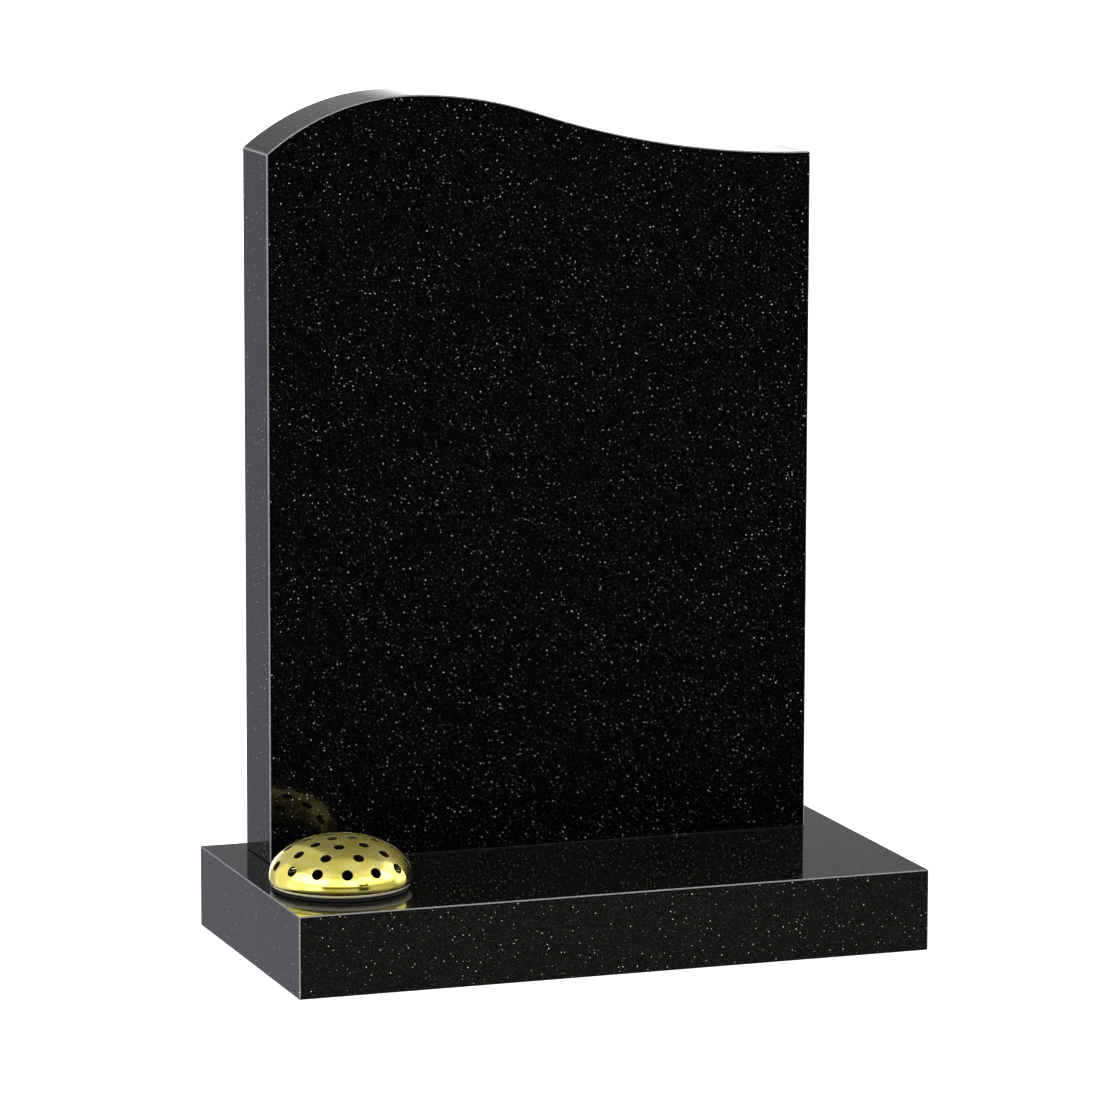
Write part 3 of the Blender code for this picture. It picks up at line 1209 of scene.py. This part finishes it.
@dataclass
class Studio:
    """The camera, the pale floor and the soft light."""

    camera_place: Point = (-1.8203, -5.1249, 1.2650)
    camera_azimuth: float = -19.433
    camera_elevation: float = 9.373
    camera_roll: float = 0.14
    lens: float = 194.8
    sensor: float = 36.0
    nearest: float = 0.05
    farthest: float = 300.0
    floor_size: float = 120.0
    floor_drop: float = 0.0004
    floor_scale: float = 3.0
    floor_colours: tuple[Colour, Colour] = ((0.90, 0.90, 0.90), (0.93, 0.93, 0.93))
    floor_roughness: float = 0.9
    floor_glow: float = 0.75
    surround: float = 0.58
    white_behind: float = 2.0
    patches: tuple[SoftPatch, ...] = (
        # The wall behind and the ground all round.
        SoftPatch(180.0, 52.0, 75.0, 36.0, 12.0, 0.46, (0.96, 1.0, 1.06)),
        SoftPatch(0.0, -46.0, 181.0, 44.0, 3.0, 0.60),
        # The soft light on the left and on the right.
        SoftPatch(-118.0, 5.0, 30.0, 30.0, 8.0, 1.00),
        SoftPatch(112.0, 8.0, 30.0, 34.0, 8.0, 2.00),
        # What the left faces, the crest and the top of the base mirror.
        SoftPatch(-160.0, -9.0, 14.0, 9.0, 4.0, 0.54, (0.97, 0.97, 1.14)),
        SoftPatch(171.0, -3.0, 17.0, 9.0, 5.0, 2.40),
        SoftPatch(159.5, 14.5, 6.0, 3.2, 1.5, 0.35, (0.97, 0.98, 1.06)),
        # The light in front, which the lid mirrors in bands.
        SoftPatch(-78.0, -6.0, 32.0, 12.0, 6.0, 1.80),
        SoftPatch(-12.0, 34.0, 92.0, 26.0, 7.0, 0.95),
        SoftPatch(-12.0, 25.0, 92.0, 13.0, 6.0, 3.20),
        SoftPatch(-14.0, 1.0, 32.0, 4.0, 2.0, 0.20, (1.0, 0.85, 0.60)),
        # The dark that the front faces mirror.
        SoftPatch(20.0, -8.0, 9.0, 10.0, 4.5, 0.05),
        SoftPatch(20.0, 12.0, 8.0, 5.0, 2.5, 0.05),
        # Two small bright lamps on either side.
        SoftPatch(-88.0, 30.0, 10.0, 12.0, 3.0, 4.00),
        SoftPatch(62.0, 30.0, 14.0, 14.0, 3.0, 4.00),
    )

    def place_camera(self) -> None:
        """Places the camera at the photograph's angle."""
        data = bpy.data.cameras.new("camera")
        data.lens = self.lens
        data.sensor_width = self.sensor
        data.clip_start = self.nearest
        data.clip_end = self.farthest
        camera = bpy.data.objects.new("camera", data)
        bpy.context.scene.collection.objects.link(camera)
        turn, rise = math.radians(self.camera_azimuth), math.radians(self.camera_elevation)
        back = Vector(
            (math.sin(turn) * math.cos(rise), -math.cos(turn) * math.cos(rise), math.sin(rise))
        )
        camera.location = self.camera_place
        camera.rotation_mode = "QUATERNION"
        roll = Quaternion(Axis.Z.value, math.radians(self.camera_roll))
        camera.rotation_quaternion = (-back).to_track_quat("-Z", "Y") @ roll
        bpy.context.scene.camera = camera

    def lay_floor(self) -> None:
        """Lays the plain pale floor."""
        deselect_all()
        bpy.ops.mesh.primitive_plane_add(
            size=self.floor_size, location=(0.0, 0.0, -self.floor_drop)
        )
        floor = set_down("studio_floor")
        material, recipe, shader = new_recipe("pale_floor")
        place = recipe.node("ShaderNodeTexCoord").outputs["Object"]
        tone = recipe.blend(recipe.noise(place, self.floor_scale), *self.floor_colours)
        recipe.feed(shader.inputs["Base Color"], tone)
        recipe.feed(shader.inputs["Roughness"], self.floor_roughness)
        recipe.feed(shader.inputs["Emission Color"], (1.0, 1.0, 1.0))
        recipe.feed(shader.inputs["Emission Strength"], self.floor_glow)
        floor.data.materials.append(material)
        floor.visible_glossy = False

    def share_of(
        self, recipe: Recipe, azimuth: object, elevation: object, patch: SoftPatch
    ) -> bpy.types.NodeSocket:
        """How much of a patch is seen in a direction.

        Args:
            recipe: The world's recipe.
            azimuth: The direction's azimuth.
            elevation: The direction's elevation.
            patch: The patch.

        Returns:
            The share's socket, from 0 outside to 1 inside.
        """
        soft = math.radians(patch.softness)
        wide, tall = math.radians(patch.half_width), math.radians(patch.half_height)
        turned = recipe.math("SUBTRACT", azimuth, math.radians(patch.azimuth))
        aside = recipe.math("ABSOLUTE", recipe.math("WRAP", turned, math.pi, -math.pi))
        raised = recipe.math("SUBTRACT", elevation, math.radians(patch.elevation))
        inside = recipe.ramp(aside, wide + soft, wide - soft)
        level = recipe.ramp(recipe.math("ABSOLUTE", raised), tall + soft, tall - soft)
        return recipe.math("MULTIPLY", inside, level)

    def paint_studio(self) -> None:
        """Paints the studio around the stone by patches, and white where the camera sees it."""
        world = bpy.data.worlds.new("studio")
        bpy.context.scene.world = world
        world.use_nodes = True
        recipe = Recipe(world.node_tree)
        direction = recipe.node("ShaderNodeTexCoord").outputs["Generated"]
        parts = recipe.node("ShaderNodeSeparateXYZ")
        recipe.feed(parts.inputs["Vector"], direction)
        facing = recipe.math("MULTIPLY", parts.outputs["Y"], -1.0)
        azimuth = recipe.math("ARCTAN2", parts.outputs["X"], facing)
        elevation = recipe.math("ARCSINE", parts.outputs["Z"])
        total = (self.surround,) * 3
        for patch in self.patches:
            share = self.share_of(recipe, azimuth, elevation, patch)
            total = recipe.blend(share, total, patch.colour())
        seen = recipe.node("ShaderNodeLightPath").outputs["Is Camera Ray"]
        total = recipe.blend(seen, total, (self.white_behind,) * 3)
        background = world.node_tree.nodes["Background"]
        recipe.feed(background.inputs["Color"], total)

    def build(self) -> None:
        """Makes the camera, the floor and the light."""
        self.place_camera()
        self.lay_floor()
        self.paint_studio()
        bpy.context.scene.view_settings.view_transform = "Standard"


def main() -> None:
    """Builds the stone's pieces in order and sets them in the studio."""
    logging.basicConfig(level=logging.INFO, format="%(name)s: %(message)s")
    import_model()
    Studio().build()
    # The painted arris highlight: a pale grey ground that stands in for the glint along the
    # polished arrises.
    arris = Granite("arris_painted_highlight", (0.14, 0.14, 0.145), (0.22, 0.22, 0.22), StoneCut.ARRIS, 0.25)
    sawn = Granite("sawn_granite", (0.035, 0.035, 0.036), (0.07, 0.07, 0.07), StoneCut.SAWN, 0.65)
    cored = Granite("cored_granite", (0.02, 0.02, 0.02), (0.05, 0.05, 0.05), StoneCut.CORED, 0.5)
    tablet_stone = Granite(
        "tablet_granite",
        (0.0003, 0.0003, 0.0003),
        (0.0024, 0.0024, 0.0024),
        refraction=1.22,
        golden_from=0.72,
    )
    base_stone = Granite("base_granite", (0.0030, 0.0030, 0.0026), (0.0085, 0.0085, 0.0076))
    makers = (
        Tablet((tablet_stone, arris, sawn)),
        BaseSlab((base_stone, arris, sawn, cored)),
        FlowerContainer(DarkPlastic()),
        ContainerLid(
            mirror=GoldMetal(
                "mirror_gold",
                colour=(0.96, 0.84, 0.25),
                deep=(0.82, 0.69, 0.09),
                roughness=0.03,
                bare=1.0,
                worn=0.84,
            ),
            # The painted rim highlight: a pale cream, barely metallic gold in place of the bright
            # light on the hole edges and the under-edge.
            rim=GoldMetal(
                "gold_rim_painted_highlight",
                colour=(1.0, 0.96, 0.68),
                deep=(1.0, 0.94, 0.58),
                roughness=0.30,
                bare=0.25,
                worn=0.25,
            ),
            # Painted shade: near-black gold inside the lid and in its holes.
            inside=GoldMetal(
                "gold_inside_painted_shade",
                colour=(0.05, 0.04, 0.01),
                deep=(0.03, 0.02, 0.01),
                roughness=0.5,
                bare=0.6,
                worn=0.6,
            ),
        ),
    )
    for maker in makers:
        piece = maker.build()
        LOG.info("%s: %d faces", piece.name, len(piece.data.polygons))
    deselect_all()


if __name__ == "__main__":
    main()
